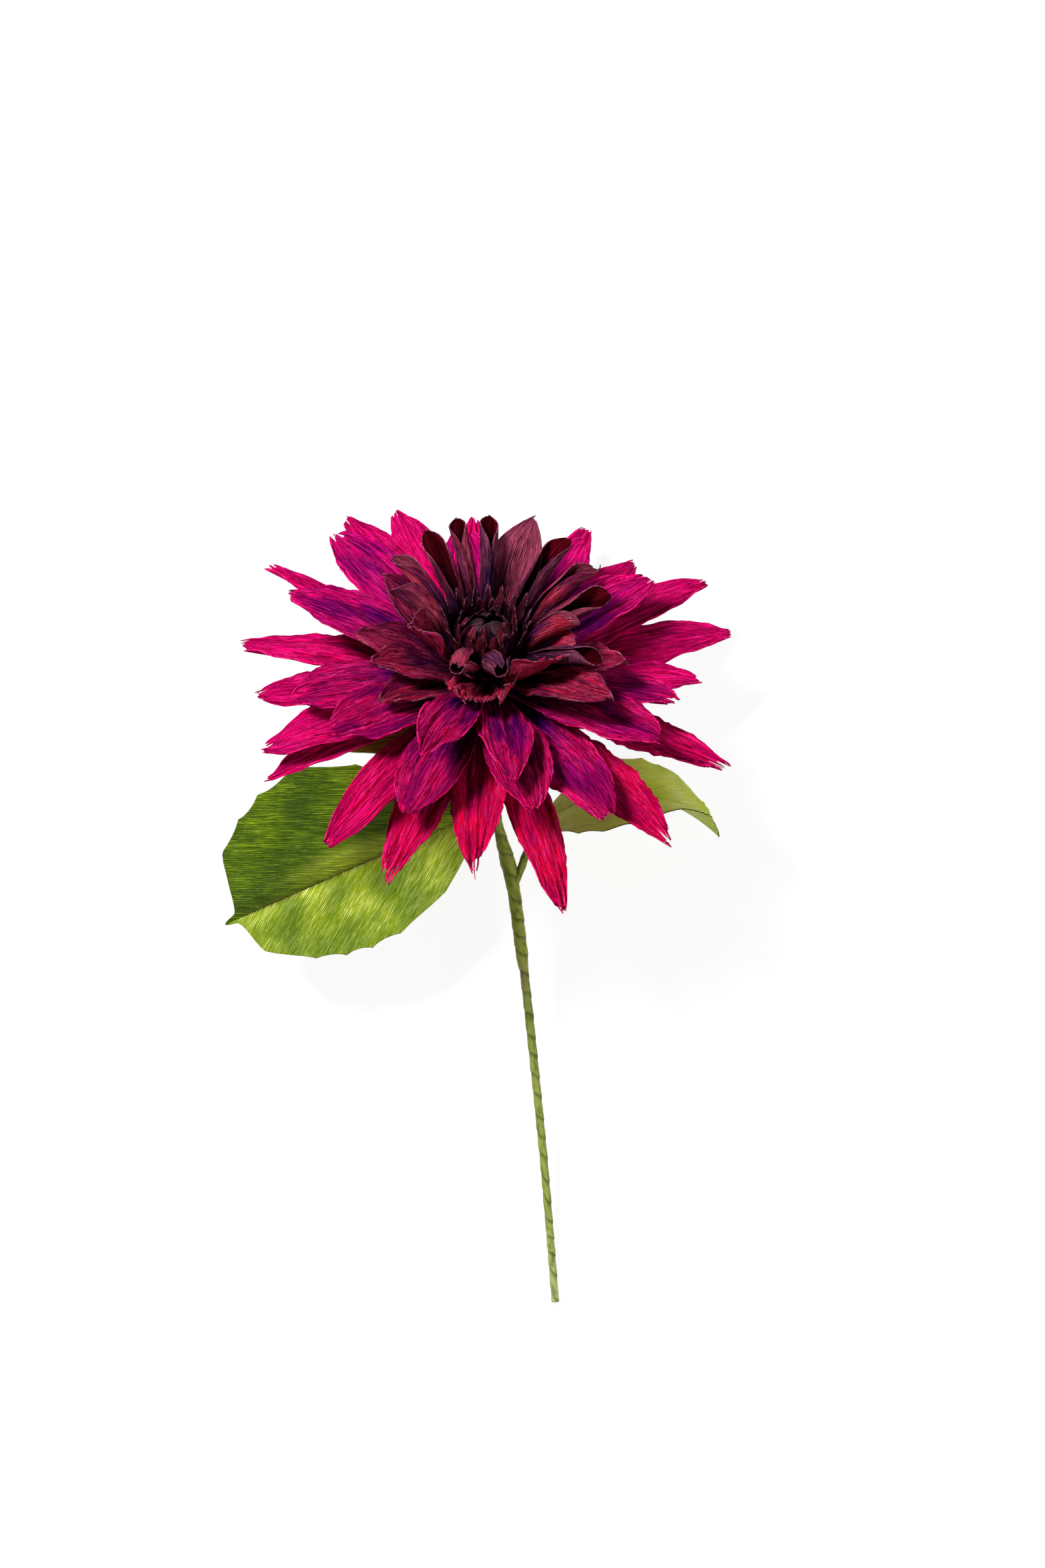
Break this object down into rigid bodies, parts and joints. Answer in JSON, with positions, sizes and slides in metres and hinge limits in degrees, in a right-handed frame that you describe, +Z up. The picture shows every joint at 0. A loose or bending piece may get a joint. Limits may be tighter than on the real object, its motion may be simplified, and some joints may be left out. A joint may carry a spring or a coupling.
{
  "type": "paper flower",
  "caption": "Crepe-paper dahlia of layered pointed petals round a rolled inner crown and dark florets, with leaves on a paper-wrapped wire stem.",
  "frame": {"origin": "middle of the bounding box, on the surface the flower lies on", "axes": "+Y from the stem's cut end towards the top of the bloom, +Z up from the surface, +X to the bloom's right as it is looked at"},
  "size_m": [0.149, 0.238, 0.1031],
  "materials": {
    "magenta_crepe": "matte crepe paper, dyed magenta",
    "plum_crepe": "matte crepe paper, plum shading to magenta",
    "wine_crepe": "matte crepe paper, dark wine",
    "dark_crepe": "matte crepe paper, near black wine",
    "core_paper": "wound paper, olive grey",
    "leaf_crepe": "matte crepe paper, leaf green",
    "pale_leaf_crepe": "matte crepe paper, pale green",
    "stem_tape": "crepe tape wound round wire",
    "olive_crepe": "matte crepe paper, olive brown",
    "wire_steel": "drawn florist's wire"
  },
  "bodies": {
    "root": {"bract": "olive_crepe", "bud_core": "core_paper", "calyx_cup": "leaf_crepe", "calyx_star": "leaf_crepe", "cupped_petal_197": "wine_crepe", "cupped_petal_266": "wine_crepe", "cupped_petal_322": "wine_crepe", "floret_strip_1": "dark_crepe", "floret_strip_2": "dark_crepe", "floret_strip_3": "dark_crepe", "floret_strip_4": "dark_crepe", "inner_petal_148": "wine_crepe", "inner_petal_178": "wine_crepe", "inner_petal_201": "wine_crepe", "inner_petal_219": "wine_crepe", "inner_petal_252": "wine_crepe", "inner_petal_279": "wine_crepe", "inner_petal_316": "wine_crepe", "inner_petal_346": "wine_crepe", "left_leaf_lower_half": "leaf_crepe", "left_leaf_upper_half": "leaf_crepe", "left_leaf_wire": "stem_tape", "middle_petal_029": "plum_crepe", "middle_petal_058": "plum_crepe", "middle_petal_098": "plum_crepe", "middle_petal_136": "plum_crepe", "middle_petal_163": "plum_crepe", "middle_petal_195": "plum_crepe", "middle_petal_218": "plum_crepe", "middle_petal_249": "plum_crepe", "middle_petal_283": "plum_crepe", "middle_petal_300": "plum_crepe", "middle_petal_321": "plum_crepe", "middle_petal_343": "plum_crepe", "outer_petal_001": "magenta_crepe", "outer_petal_018": "magenta_crepe", "outer_petal_031": "magenta_crepe", "outer_petal_049": "magenta_crepe", "outer_petal_062": "magenta_crepe", "outer_petal_079": "magenta_crepe", "outer_petal_094": "magenta_crepe", "outer_petal_111": "magenta_crepe", "outer_petal_124": "magenta_crepe", "outer_petal_150": "magenta_crepe", "outer_petal_167": "magenta_crepe", "outer_petal_181": "magenta_crepe", "outer_petal_200": "magenta_crepe", "outer_petal_211": "magenta_crepe", "outer_petal_232": "magenta_crepe", "outer_petal_247": "magenta_crepe", "outer_petal_267": "magenta_crepe", "outer_petal_286": "magenta_crepe", "outer_petal_312": "magenta_crepe", "outer_petal_339": "magenta_crepe", "quill_strip": "wine_crepe", "right_leaf_far_half": "pale_leaf_crepe", "right_leaf_near_half": "pale_leaf_crepe", "right_leaf_wire": "stem_tape", "stem_wire": "wire_steel", "stem_wrap": "stem_tape"}
  },
  "joints": []
}
